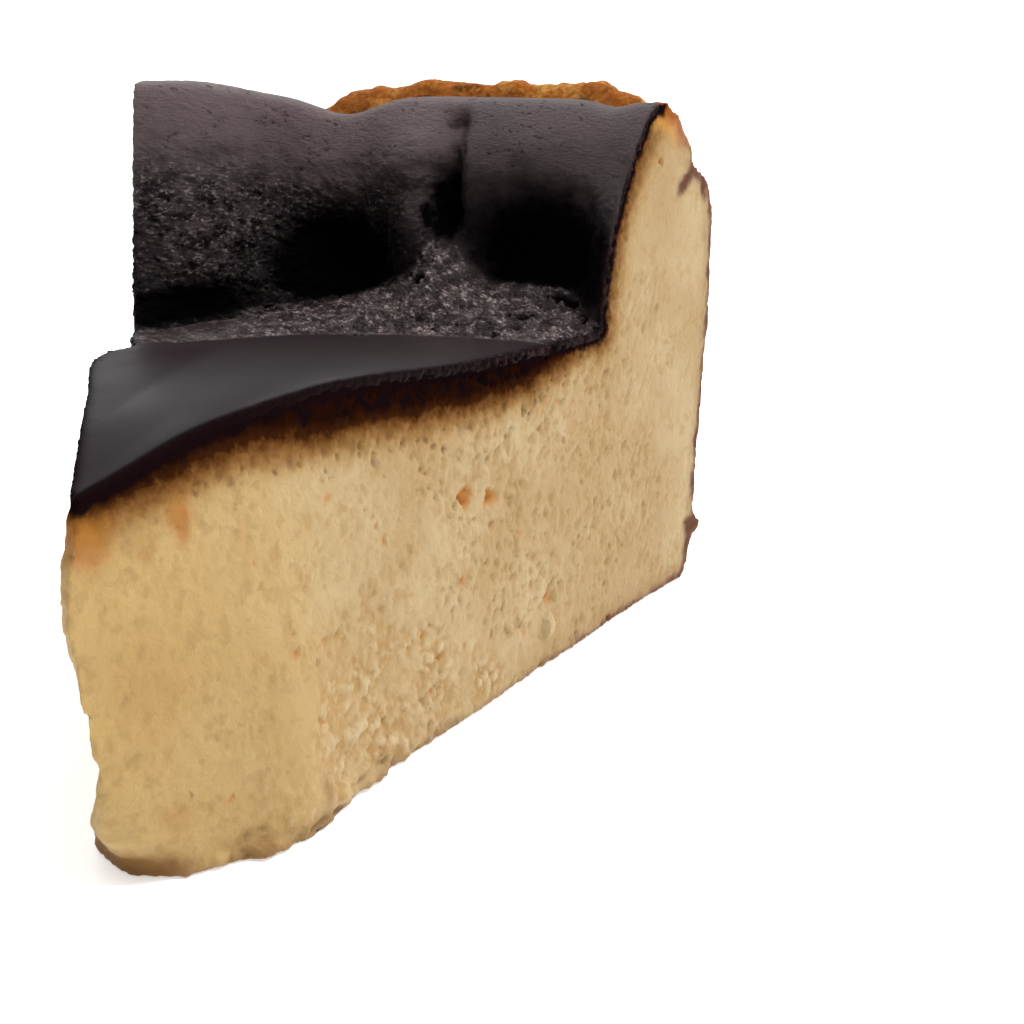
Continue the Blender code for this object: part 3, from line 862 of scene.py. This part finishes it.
def press_cut(body, mask, below_skin, seed, is_right):
    """Dents, curds, specks and grain of one cut face. Below_skin is the distance from the skin."""
    near, local = body.touched(mask)
    here = mask[near]
    u, v = (
        place[near] + 0.35 * fractal(local, 2.0, 2, offset) + 0.15 * fractal(local, 0.7, 2, offset + 6.0)
        for place, offset in ((body.s, 31.0), (body.h, 47.0))
    )
    below = below_skin[near]
    high_rim = ease(u, 74.0, 86.0) * ease(v, 30.0, 46.0)
    at_tip = fade(u + 3.0 * fractal(local, 7.0, 2, 3.0), 12.0, 42.0)

    relief = 0.18 * fractal(local, 11.0, 2) + 0.08 * fractal(local, 1.2, 4, 3.0, 0.7)
    relief += 0.5 * fractal(local, (30.0, 30.0, 3.2), 2, 23.0) * fade(u, 6.0, 11.0)
    patchy = mix(0.4, 1.0, ease(fractal(local, 6.0, 2, 5.0), -0.4, 0.25))
    strength = patchy * (1.0 - 0.6 * high_rim) * (1.0 - 0.55 * at_tip) * (1.0 - 0.6 * ease(u, 83.0, 94.0))
    # The dents are painted warmer and darker: partly the custard's colour, partly painted shade.
    pit = np.zeros(len(near))
    for layer, (cell, depth, fullness) in enumerate(DENT_LAYERS):
        dent = dents(u, v, cell, seed + layer, fullness)
        relief -= depth * strength * dent
        pit = np.maximum(pit, dent * strength * (1.0 - 0.2 * layer))

    # Curds crowd the lower part, from the worn tip to half way along.
    ceiling = mix(8.0, 16.0, bump(u, 34.0, 12.0)) * fade(u, 46.0, 66.0)
    ceiling += 2.5 * fractal(local, 5.0, 2, 9.0)
    curdy = fade(v, ceiling - 5.0, ceiling + 2.0) * ease(u, 8.0, 30.0)
    curdy = curdy * fade(u, 54.0, 68.0) * ease(v, 0.5, 1.8)
    curdy *= mix(0.3, 1.0, ease(fractal(local, 5.0, 2, 15.0), -0.35, 0.1))
    lumps = curd_lumps(u, v, CURD_CELL, seed + CURD_SEED)
    lumps = np.maximum(lumps, 0.7 * curd_lumps(u, v, 0.6 * CURD_CELL, seed + CURD_SEED + 1))
    relief = mix(relief, relief * 0.5 + CURD_RISE * (lumps - 0.5), curdy)
    curd = curdy * ease(lumps, 0.25, 0.95)
    # The crevices between curds join the pits, painted darker as shade.
    crack = curdy * fade(lumps, 0.0, 0.4)

    # The bottom edge crumbles near the tip.
    crumbling = fade(v, 0.4, 4.0) * ease(u, 9.0, 15.0) * fade(u, 32.0, 50.0)
    crumbling *= 1.2 if is_right else 0.5
    relief += crumbling * fractal(local, (2.8, 2.8, 1.6), 2, 63.0)

    # Specks burnt through from the skin, and the crumbly fringe under it near the rim.
    speck = burnt_specks(u, v, below, seed)
    speck = speck * ease(below, 0.8, 2.0) * ease(u, 6.0, 16.0) * (1.0 - 0.5 * high_rim)
    relief -= 0.15 * speck
    fringe = bump(u, 60.0, 15.0) * fade(below, 2.0, 5.0)
    relief += fringe * 0.5 * fractal(local, (0.8, 0.8, 1.5), 3, 17.0, 0.7)

    rng = np.random.default_rng(seed + STAIN_SEED)
    stain = np.zeros(len(near))
    for _ in range(STAIN_COUNT):
        s0 = rng.uniform(14.0, 74.0)
        h0 = rng.uniform(3.0, 30.0)
        spot = ellipse(u - s0, v - h0, rng.uniform(0.35, 0.8), rng.uniform(0.25, 0.45), 60.0)
        stain = np.maximum(stain, rng.uniform(0.35, 0.8) * spot)
        relief -= 0.2 * spot
    if is_right:
        for s0, h0, direction, length, half_width, depth in TORN_HOLES:
            hole = torn(body.s[near] - s0, body.h[near] - h0, direction, length, half_width)
            relief -= depth * hole
            stain = np.maximum(stain, np.minimum(1.0, 2.2 * hole * depth))
            # Painted shade in the deepest part of each hole.
            body.mark(near, stain_deep=ease(hole, 0.55, 0.95) * here)
        for s0, h0, half_long, half_short, lean, rise in PALE_LUMPS:
            lump = ellipse(u - s0, v - h0, half_long, half_short, lean)
            relief += rise * lump
            curd = np.maximum(curd, lump)
            pit *= 1.0 - lump
        for s0, h0, half_wide, half_high, lean in RIND_MARKS:
            brown = ellipse(u - s0, v - h0, 1.4 * half_wide, 1.4 * half_high, lean)
            body.mark(near, rind=np.minimum(1.0, 1.3 * brown) * here)

    body.mark(
        near,
        brown_patch=soft_spots(u, v, BROWN_PATCHES, 1.5) * here,
        blotch=soft_spots(u, v, BLOTCHES, 1.6) * here,
        pit=np.maximum(pit, crack) * here,
        curd=curd * here,
        curdy=curdy * here,
        stain=stain * here,
        speck=speck * here,
    )
    body.relief[near] += relief * here * ease(below, 0.3, 1.6)


def press_crust(body, mask):
    """Lumps along the top of the browned crust."""
    near, local = body.touched(mask)
    lumps = 0.22 * (ridged(local, 3.4, 2, 2.0) - 0.5) + 0.12 * fractal(local, 1.1, 3, 4.0)
    body.relief[near] += lumps * mask[near]


def press_side(body, mask):
    """The outer wall's grain and its finer paper creases."""
    near, local = body.touched(mask)
    creases = 1.0 - ridged(local, (4.0, 4.0, 26.0), 3, 8.0)
    grain = 0.22 * fractal(local, 2.0, 3, 1.0) + 0.12 * fractal(local, 0.8, 2, 2.0)
    body.relief[near] += (grain - 0.35 * ease(creases, 0.6, 1.0)) * mask[near]


def char_depth(s):
    """How deep the custard is charred under the burnt skin, at a radius."""
    return np.interp(s, CHAR_RADII, CHAR_DEPTHS)


def build_body(shift):
    """The custard with its crust, side and base, up to a little way into the skin."""
    points, sides = block_mesh()
    body = Fine(points, [corners for side in sides.values() for corners in side], BODY_CELL)
    away = {}
    outward = {}
    for side, faces in sides.items():
        away[side], outward[side] = body.near(points, faces)
    top_faces = np.array(sides["top"])
    face_s, face_a = (corners.mean(axis=1) for corners in polar(points[top_faces]))
    is_burnt = face_s < burnt_end(face_a)
    burnt, skin_normal = body.near(points, top_faces[is_burnt].tolist())
    crust, _ = body.near(points, top_faces[~is_burnt].tolist() + sides["outer"])

    cut = np.minimum(np.minimum(away["left"], away["right"]), away["tip"])
    cut_mask = fade(cut, 0.1, 0.5)
    base_mask = fade(body.h, 0.05, 0.4)
    top_mask = fade(away["top"], 0.1, 0.5) * (1.0 - cut_mask)
    side_mask = fade(away["outer"], 0.1, 0.5) * (1.0 - cut_mask) * (1.0 - top_mask)
    is_right = away["right"] <= away["left"]
    press_cut(body, cut_mask * is_right, burnt, DENT_SEED, True)
    press_cut(body, cut_mask * ~is_right, burnt, DENT_SEED + 5, False)
    press_crust(body, top_mask * ease(burnt, 0.2, 1.5))
    press_side(body, side_mask)

    # At the base the cuts' relief moves the edge sideways, and the base stays flat.
    level_normal = np.where((away["left"] < away["right"])[:, None], outward["left"], outward["right"])
    body.normals += (level_normal - body.normals) * (cut_mask * fade(body.h, 0.1, 0.9))[:, None]
    body.relief *= 1.0 - base_mask * (1.0 - cut_mask)
    sunk = SKIN_OVERLAP * fade(burnt, 0.0, 2.0) * (1.0 - base_mask)
    body.points = body.points - skin_normal * sunk[:, None]
    body.points[base_mask > 0.9, 2] = 0.0

    body.mark(
        burnt=burnt,
        past_char=burnt - char_depth(body.s) + DEPTH_ADDED,
        outer_part=ease(body.s, 52.0, 86.0),
        cap=ease(body.h, 54.5, 58.0) * ease(body.s, 83.0, 86.0),
        crust=crust,
        height=body.h,
        outside=np.maximum(np.maximum(side_mask, top_mask), base_mask * (1.0 - cut_mask)),
        warm=fade(body.s + 3.0 * fractal(body.points, 9.0, 2, 1.0), 8.0, 38.0),
    )
    return body.finished(BODY_NAME, shift)


def moat_share(s, h, a):
    """1 on the grainy moat between the lip and the rim's foot, and on the tent in the crease."""
    lip = lip_radius(a)
    foot = foot_radius(a)
    floor = floor_height(np.minimum(s, foot), a)
    share = ease(s, lip - 0.3, lip + 1.2) * fade(h, floor + 0.2, floor + 1.1)
    grainy = mix(0.25, 1.0, ease(a, -15.0, -8.0))
    return share * grainy * fade(s, foot + 0.8, foot + 3.0)


def sooty_share(a, h):
    """1 in the rim's hollows, where shade is painted."""
    share = np.zeros_like(a)
    for azimuth, height, half_width, half_height, strength in SHADED_HOLLOWS:
        reach = np.hypot((a - azimuth) / half_width, (h - height) / half_height)
        share = np.maximum(share, strength * fade(reach, 0.35, 1.2))
    return share


def wall_relief(local, a, low):
    """The rim's leathery skin: short slanting wrinkles, coarser lower down, and a few cracks."""
    slant = mix(0.38, -0.16, ease(a, -9.0, 8.0))
    flowing = local + 0.7 * fractal(local, 8.0, 2, 21.0)[:, None]
    flowing[:, 2] += slant * local[:, 0]
    rough = mix(0.2, 1.3, ease(low, 4.0, 13.0)) * mix(1.0, 0.4, ease(a, 3.0, 9.0))
    wrinkles = 0.22 * fractal(flowing, (2.2, 2.2, 0.9), 4, 0.0, 0.5)
    wrinkles += 0.16 * (ridged(flowing, (1.3, 1.3, 0.7), 2, 7.0) - 0.5)
    lumpy = 0.30 * fractal(local, (5.5, 5.5, 4.0), 2, 3.0)
    line = fade(np.abs(fractal(flowing, (3.2, 3.2, 0.9), 2, 19.0)), 0.0, 0.05)
    crack = line * ease(fractal(local, (3.0, 3.0, 1.5), 2, 23.0), 0.12, 0.3) * fade(low, 10.0, 16.0)
    return wrinkles * rough + lumpy * ease(low, 1.0, 8.0) - 0.16 * crack, crack


def moat_relief(local, a):
    """Grain all over the moat, and folds on its right."""
    grain = 0.36 * fractal(local, 1.7, 3, 5.0) + 0.36 * fractal(local, 0.55, 3, 9.0, 0.5)
    folds = ridged(local, (2.0, 4.0, 2.0), 2, 13.0) - 0.4
    return grain + 0.6 * folds * ease(a, 4.0, 12.0)


def build_skin(shift):
    """The burnt skin: level and satin in the middle, grainy in the moat, leathery on the rim."""
    upper, lower = skin_shell()
    points = np.concatenate((upper.reshape(-1, 3), lower.reshape(-1, 3)))
    numbers = np.arange(len(points) // 2).reshape(upper.shape[:2])
    upper_faces = sheet_faces(numbers)
    lower_faces = [face[::-1] for face in sheet_faces(numbers + numbers.size)]
    edge_faces = rim_faces(numbers)
    skin = Fine(points, upper_faces + lower_faces + edge_faces, SKIN_CELL)
    away, _ = skin.near(points, upper_faces)
    edge, _ = skin.near(points, edge_faces)
    edge_share = fade(edge, 0.05, 0.4)
    top = fade(away, 0.1, 0.45) * mix(1.0, 0.35, edge_share)

    s, a, h = skin.s, skin.a, skin.h
    foot = foot_radius(a)
    wall = ease(s, foot - 1.5, foot + 1.0)
    moat = moat_share(s, h, a)
    low = crest_height(a) - h
    near, local = skin.touched(top)
    on_wall, crack = wall_relief(local, a[near], low[near])
    middle = 0.08 * fractal(local, 9.0, 2, 6.0) + 0.012 * fractal(local, 0.7, 2, 16.0)
    relief = mix(mix(middle, on_wall, wall[near]), moat_relief(local, a[near]), moat[near])

    # The gaps are painted near black as shade in them, and so are the cracks.
    gap = np.zeros(len(near))
    for s0, a0, half_long, half_short, depth in TOP_GAPS:
        across = np.radians(a[near] - a0) * s0
        hole = ellipse(across, s[near] - s0, half_long, half_short, 4.0)
        relief -= depth * hole
        gap = np.maximum(gap, ease(hole, 0.1, 0.5))
        beyond = ellipse(across, s[near] - s0 - half_short, 1.2 * half_long, 0.8, 4.0)
        relief += 0.3 * beyond * (1.0 - hole)
    skin.relief[near] = relief * top[near]
    sides, local = skin.touched(edge_share)
    frayed = mix(0.08, 0.32, bump(s[sides], 60.0, 13.0)) * edge_share[sides]
    skin.relief[sides] += frayed * fractal(local, 0.9, 3, 27.0, 0.6)

    # The painted shade's border is ragged.
    ragged = fractal(skin.points, 2.4, 3, 33.0, 0.7)
    soot = sooty_share(a + 0.9 * ragged, h + 0.9 * ragged) * ease(s, foot - 1.5, foot + 0.5)
    # Dust and painted light from above, fading down from the crest and weaker on the right.
    dusty = fade(low + 1.2 * ragged, 1.0, mix(12.5, 10.0, ease(a, 4.0, 10.0))) * wall
    left_front = 0.92 * ease(-a, 5.0, 13.0) * fade(s, 50.0, 60.0)
    inner = np.maximum(fade(s, 60.0, 74.0), fade(h, 44.0, 52.0))
    lip = lip_radius(a)
    skin.mark(near, gap=gap, crack=crack * wall[near])
    skin.mark(
        moat=moat,
        wall=wall,
        soot=soot * (1.0 - moat),
        dusty=dusty * mix(1.1, 0.62, ease(a, 2.0, 8.0)),
        coarse=wall * ease(low, 6.0, 13.0) * fade(a, -2.0, 6.0),
        front=np.maximum(fade(s, 15.0, 46.0), left_front),
        # At the back of the level middle a dark reflection of the wall is painted.
        back=ease(s, lip - 22.0, lip - 8.0),
        cut_edge=ease(away, 0.08, 0.4),
        near_edge=fade(edge, 0.1, 1.1) * inner,
        torn_edge=ease(s + 4.0 * ragged, 50.0, 66.0),
    )
    return skin.finished(SKIN_NAME, shift)


class Nodes:
    """Short ways to build a tree of nodes. A value is a number, a colour, a socket or the name of
    a mark."""

    def __init__(self, tree, place):
        self.tree = tree
        self.place = self.add("TexCoord", output=place)

    def put(self, socket, value):
        if isinstance(value, str):
            value = self.add("Attribute", output="Fac", attribute_name=value)
        if isinstance(value, bpy.types.NodeSocket):
            self.tree.links.new(value, socket)
        elif socket.type == "RGBA":
            socket.default_value = (*value, 1.0)
        else:
            socket.default_value = value

    def add(self, kind, *values, output=None, **named):
        """A new node's output. Its inputs are given in their order, or by name like its settings."""
        node = self.tree.nodes.new("ShaderNode" + kind)
        for name, value in named.items():
            if name in node.inputs:
                self.put(node.inputs[name], value)
            else:
                setattr(node, name, value)
        inputs = [socket for socket in node.inputs if socket.enabled]
        for socket, value in zip(inputs, values):
            self.put(socket, value)
        if output:
            return node.outputs[output]
        return next(socket for socket in node.outputs if socket.enabled)

    def noise(self, per_mm, detail=3.0, roughness=0.5, stretch=(1.0, 1.0, 1.0)):
        """Noise from 0 to 1 with a given number of lumps to the millimetre."""
        scale = [per_mm / METRES_PER_MM * part for part in stretch]
        place = self.add("VectorMath", self.place, scale, operation="MULTIPLY")
        return self.add("TexNoise", Vector=place, Scale=1.0, Detail=detail, Roughness=roughness)

    def swing(self, reach, *texture):
        """Noise from minus the reach to the reach."""
        return self.line(self.noise(*texture), 2.0 * reach, -reach)

    def times(self, first, second):
        return self.add("Math", first, second, operation="MULTIPLY")

    def plus(self, first, second):
        return self.add("Math", first, second, operation="ADD")

    def line(self, value, slope, start):
        return self.add("Math", value, slope, start, operation="MULTIPLY_ADD")

    def most(self, first, *others):
        for other in others:
            first = self.add("Math", first, other, operation="MAXIMUM")
        return first

    def span(self, value, start, end, low=0.0, high=1.0):
        """A smooth step of the value from low at the start to high at the end."""
        return self.add("MapRange", value, start, end, low, high, interpolation_type="SMOOTHSTEP")

    def blend(self, share, first, second):
        return self.add("Mix", share, first, second, data_type="RGBA")

    def ramp(self, value, *stops):
        colour = self.add("ValToRGB", value)
        elements = colour.node.color_ramp.elements
        while len(elements) < len(stops):
            elements.new(0.5)
        for element, (position, stop) in zip(elements, stops):
            element.position = position
            element.color = (*stop, 1.0)
        return colour


class Shade(Nodes):
    """A material whose colour is painted in layers."""

    def __init__(self, name, colour):
        self.material = bpy.data.materials.new(name)
        self.material.use_nodes = True
        super().__init__(self.material.node_tree, "Object")
        self.colour = colour

    def paint(self, share, colour, strength=None):
        if strength is not None:
            share = self.times(share, strength)
        self.colour = self.blend(share, self.colour, colour)

    def finish(self, **sockets):
        shader = self.tree.nodes["Principled BSDF"]
        self.put(shader.inputs["Base Color"], self.colour)
        for name, value in sockets.items():
            self.put(shader.inputs[name.replace("_", " ")], value)
        return self.material

    def bumps(self, height, distance_mm):
        return self.add("Bump", Height=height, Distance=distance_mm * METRES_PER_MM)


def paint_custard(shade):
    shade.paint(shade.span(shade.noise(0.09), 0.35, 0.7), CUSTARD_PALE)
    shade.paint("warm", CUSTARD_WARM, 0.75)
    shade.paint(shade.span(shade.noise(0.8, 4.0, 0.6), 0.45, 0.8, 0.0, 0.22), CUSTARD_DEEP)
    shade.paint(shade.span(shade.noise(0.62, 2.0), 0.55, 0.68, 0.0, 0.5), CUSTARD_DEEP)
    mottle = shade.span(shade.noise(0.45, 3.0, 0.6), 0.42, 0.62, 0.0, 0.7)
    shade.paint(mottle, CUSTARD_DEEP, "curdy")
    # Warmer custard and painted shade in the dents and crevices.
    shade.paint("pit", PIT, 0.75)
    shade.paint("curd", CURD, 0.85)
    shade.paint("stain", STAIN)
    # Painted shade deep in the torn holes.
    shade.paint("stain_deep", HOLE_SHADE, 0.7)


def crust_colour(shade):
    """Orange and gold along the top of the crust, dull brown and tan down the paper's side."""
    patches = shade.noise(0.2, 4.0, 0.6)
    stops = ((0.32, CRUST_DARK), (0.43, CRUST_ORANGE), (0.53, CRUST_ORANGE), (0.63, CRUST_GOLD))
    flecks = shade.span(shade.noise(1.6, 3.0, 0.6), 0.4, 0.7, 0.0, 0.35)
    crown = shade.blend(flecks, shade.ramp(patches, *stops), CRUST_GOLD)
    side = shade.ramp(patches, (0.36, SIDE_BROWN), (0.62, SIDE_TAN))
    height = shade.line(shade.noise(0.15), 10.0, "height")
    colour = shade.blend(shade.span(height, 52.0, 64.0), side, crown)
    return shade.blend(shade.span(shade.noise(0.8), 0.56, 0.75, 0.0, 0.35), colour, CRUST_DARK)


def body_material():
    shade = Shade("baked_custard_and_crust", CUSTARD)
    paint_custard(shade)
    ragged = shade.swing(1.2, 0.35)

    # The crust browns a thin rim of the cut in patches, and so does the base, most of it far out.
    crust_depth = shade.plus("crust", ragged)
    shade.paint(shade.span(crust_depth, 0.2, 3.0, 0.75, 0.0), EDGE_TAN)
    patches = shade.span(shade.noise(0.11, 2.0), 0.35, 0.6, 0.35, 1.0)
    rind = shade.times(shade.span(crust_depth, 0.6, 1.4, 1.0, 0.0), patches)
    rind = shade.times(rind, shade.line("cap", -1.0, 1.0))
    shade.paint(rind, RIND)
    base_depth = shade.plus("height", ragged)
    shade.paint(shade.span(base_depth, 0.0, 3.2, 0.6, 0.0), TOFFEE, "outer_part")
    further_out = shade.line("outer_part", 0.5, 0.5)
    base_line = shade.times(shade.span(base_depth, 0.0, 1.2, 0.95, 0.0), further_out)
    shade.paint(base_line, RIND)
    shade.paint("rind", RIND)
    shade.paint("brown_patch", TIN_BROWN)

    # Under the burnt skin the custard is charred, and then fades from caramel to cream.
    crumbs = shade.swing(0.8, 1.1, 3.0, 0.6)
    past_char = shade.plus("past_char", shade.plus(shade.swing(1.2, 0.25, 4.0, 0.6), crumbs))
    depth = shade.line(past_char, 1.0 / FADE_DEPTH, -DEPTH_ADDED / FADE_DEPTH)
    band = shade.ramp(depth, (0.0, CARAMEL_DARK), (0.2, CARAMEL), (0.42, TOFFEE), (0.8, HONEY))
    shade.paint(shade.span(depth, 0.45, 1.2, 1.0, 0.0), band)
    speck_colour = shade.blend(shade.span("outer_part", 0.0, 0.1), CARAMEL, CARAMEL_DARK)
    shade.paint(shade.span(depth, 0.15, 0.4, 0.0, 0.75), speck_colour, "speck")
    cap_depth = shade.times(crust_depth, 0.2)
    cap_colour = shade.ramp(cap_depth, (0.15, CRUST_ORANGE), (0.45, CRUST_GOLD), (0.8, HONEY))
    shade.paint(shade.span(cap_depth, 0.4, 0.9, 1.0, 0.0), cap_colour, "cap")
    shade.paint("blotch", BLOTCH)
    blackened = shade.blend(shade.span(shade.noise(0.6, 4.0, 0.6), 0.4, 0.6), CARAMEL_BLACK, CHAR)
    shade.paint(shade.span(depth, -0.35, 0.1, 1.0, 0.0), blackened)
    shade.paint(shade.span(shade.plus("burnt", crumbs), 0.9, 2.0, 1.0, 0.0), CHAR)
    shade.paint("outside", crust_colour(shade), shade.span("burnt", 0.3, 1.0))

    # Moist custard, dull where it is charred or browned; its crumb is the finest grain.
    browned = shade.most("rind", "brown_patch", rind, base_line)
    level = shade.times(shade.span(depth, 0.0, 1.2), shade.line("outside", -0.35, 0.5))
    return shade.finish(
        Roughness=0.6,
        IOR=1.42,
        Specular_IOR_Level=shade.times(level, shade.line(browned, -0.9, 1.0)),
        Normal=shade.bumps(shade.noise(1.8, 5.0, 0.6), 0.2),
        Subsurface_Weight=0.08,
        Subsurface_Radius=(1.0, 0.55, 0.25),
        Subsurface_Scale=0.003,
    )


def skin_material():
    shade = Shade("burnt_skin", SATIN)
    # Painted reflection of the dark wall on the back of the level middle.
    shade.paint("back", SATIN_WALL_REFLECTION)
    shade.paint("wall", BURNT)
    shade.paint(shade.span(shade.noise(0.3, 4.0, 0.6), 0.35, 0.75, 0.0, 0.3), DUST_AND_TOP_LIGHT, "wall")
    # Dust and painted top light, towards the crest.
    shade.paint(shade.span(shade.noise(0.5, 4.0, 0.6), 0.2, 0.6, 0.55, 1.0), DUST_AND_TOP_LIGHT, "dusty")
    tone = shade.span(shade.noise(0.42, 5.0, 0.7, (1.0, 1.5, 1.5)), 0.40, 0.60)
    shade.paint("moat", shade.blend(tone, BURNT, MOAT))
    # Painted glints in the moat, and then low on the wall.
    glint = shade.span(shade.noise(1.4, 5.0, 0.75, (0.8, 1.6, 1.6)), 0.49, 0.66)
    glint = shade.times(glint, shade.span(tone, 0.2, 1.0, 0.1, 1.0))
    shade.paint(glint, PAINTED_GLINT, "moat")
    shadowed = shade.span(shade.noise(0.35, 4.0, 0.65, (1.0, 1.0, 1.8)), 0.40, 0.54, 0.85, 0.0)
    shadowed = shade.times(shadowed, "coarse")
    shade.paint(shadowed, SHADE_BLACK)
    glints = shade.span(shade.noise(1.5, 5.0, 0.75, (0.8, 0.8, 1.8)), 0.52, 0.68, 0.0, 0.5)
    shade.paint(glints, PAINTED_GLINT, "coarse")
    # Painted shade, near black, in the rim's hollows.
    soot = shade.span(shade.plus("soot", shade.swing(0.25, 0.9, 4.0, 0.65)), 0.05, 0.95)
    # Gaps and cracks get the same painted shade.
    dark = shade.most(soot, "gap", shade.times("crack", 0.6))
    shade.paint(dark, SHADE_BLACK)
    shade.paint("near_edge", CHAR, 0.85)
    fringe = shade.span(shade.noise(1.2, 3.0, 0.6), 0.42, 0.62)
    shade.paint("cut_edge", shade.blend(shade.times(fringe, "torn_edge"), CHAR, TORN_EDGE))

    # Satin in the middle, drier up the wall, glittering in the moat.
    rough = shade.line("wall", 0.18, 0.36)
    for where, change in (("coarse", -0.22), ("moat", -0.14), (soot, 0.2), ("front", 0.12)):
        rough = shade.line(where, change, rough)
    matt = shade.most(dark, "cut_edge", "near_edge", shadowed)
    leather = shade.noise(1.5, 5.0, 0.7, (1.0, 1.0, 2.4))
    height = shade.times(leather, shade.line("wall", 1.0, 0.03))
    height = shade.line(leather, "coarse", height)
    height = shade.line(shade.times(shade.noise(2.6, 4.0, 0.65), 2.0), "moat", height)
    return shade.finish(
        Roughness=rough,
        IOR=1.45,
        Specular_IOR_Level=shade.times(shade.line("front", -0.465, 0.5), shade.line(matt, -0.94, 1.0)),
        Specular_Tint=SHEEN,
        Normal=shade.bumps(height, 0.35),
    )


def build_floor():
    signs = ((-1, -1), (1, -1), (1, 1), (-1, 1))
    corners = [(x * FLOOR_HALF_METRES, y * FLOOR_HALF_METRES, 0.0) for x, y in signs]
    floor = mesh_object("floor", corners, [(0, 1, 2, 3)])
    floor.location.z = -FLOOR_DROP_METRES
    shade = Shade("pale_floor", FLOOR)
    shade.paint(shade.noise(0.01, 2.0), FLOOR_COOL)
    material = shade.finish(Roughness=0.8, Emission_Color=FLOOR, Emission_Strength=FLOOR_GLOW)
    floor.data.materials.append(material)


def build_lamp():
    light = bpy.data.lights.new("key", "AREA")
    light.size = LAMP_SIZE * METRES_PER_MM
    light.energy = LAMP_WATTS
    lamp = scene_object("key", light)
    lamp.location = Vector(LAMP_PLACE) * METRES_PER_MM
    aim = Vector(LAMP_AIM) * METRES_PER_MM - lamp.location
    lamp.rotation_euler = aim.to_track_quat("-Z", "Y").to_euler()


def build_sky():
    """A soft sky, brightest overhead and dim on the camera's side."""
    world = bpy.data.worlds.new("studio")
    bpy.context.scene.world = world
    world.use_nodes = True
    sky = Nodes(world.node_tree, "Generated")
    strength = 1.0
    for direction, steps in ((UP, SKY_OVERHEAD), (BEHIND_SLICE, SKY_BEHIND)):
        along = sky.add("VectorMath", sky.place, direction, operation="DOT_PRODUCT")
        strength = sky.times(strength, sky.span(along, *steps))
    background = sky.tree.nodes["Background"]
    sky.put(background.inputs["Color"], (1.0, 1.0, 1.0))
    sky.put(background.inputs["Strength"], strength)


def build_camera(shift):
    data = bpy.data.cameras.new("camera")
    data.sensor_width = SENSOR_WIDTH
    data.lens = FOCAL_LENGTH
    data.clip_start = CLIP_START
    camera = scene_object("camera", data)
    camera.location = (Vector(CAMERA_PLACE) - Vector(shift)) * METRES_PER_MM
    camera.rotation_euler = np.radians((90.0 - CAMERA_TILT, 0.0, -CAMERA_HEADING))
    bpy.context.scene.camera = camera


def main():
    points, _ = block_mesh()
    low = points.min(axis=0)
    high = points.max(axis=0)
    shift = np.array([*((low + high) / 2.0)[:2], low[2]])
    body = build_body(shift)
    skin = build_skin(shift)
    for piece, material in ((body, body_material()), (skin, skin_material())):
        piece.data.materials.clear()
        piece.data.materials.append(material)
        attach(piece, "root")
        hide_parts(NODE_NAME)
    build_floor()
    build_sky()
    build_lamp()
    build_camera(shift)
    bpy.context.scene.view_settings.view_transform = "Standard"


main()
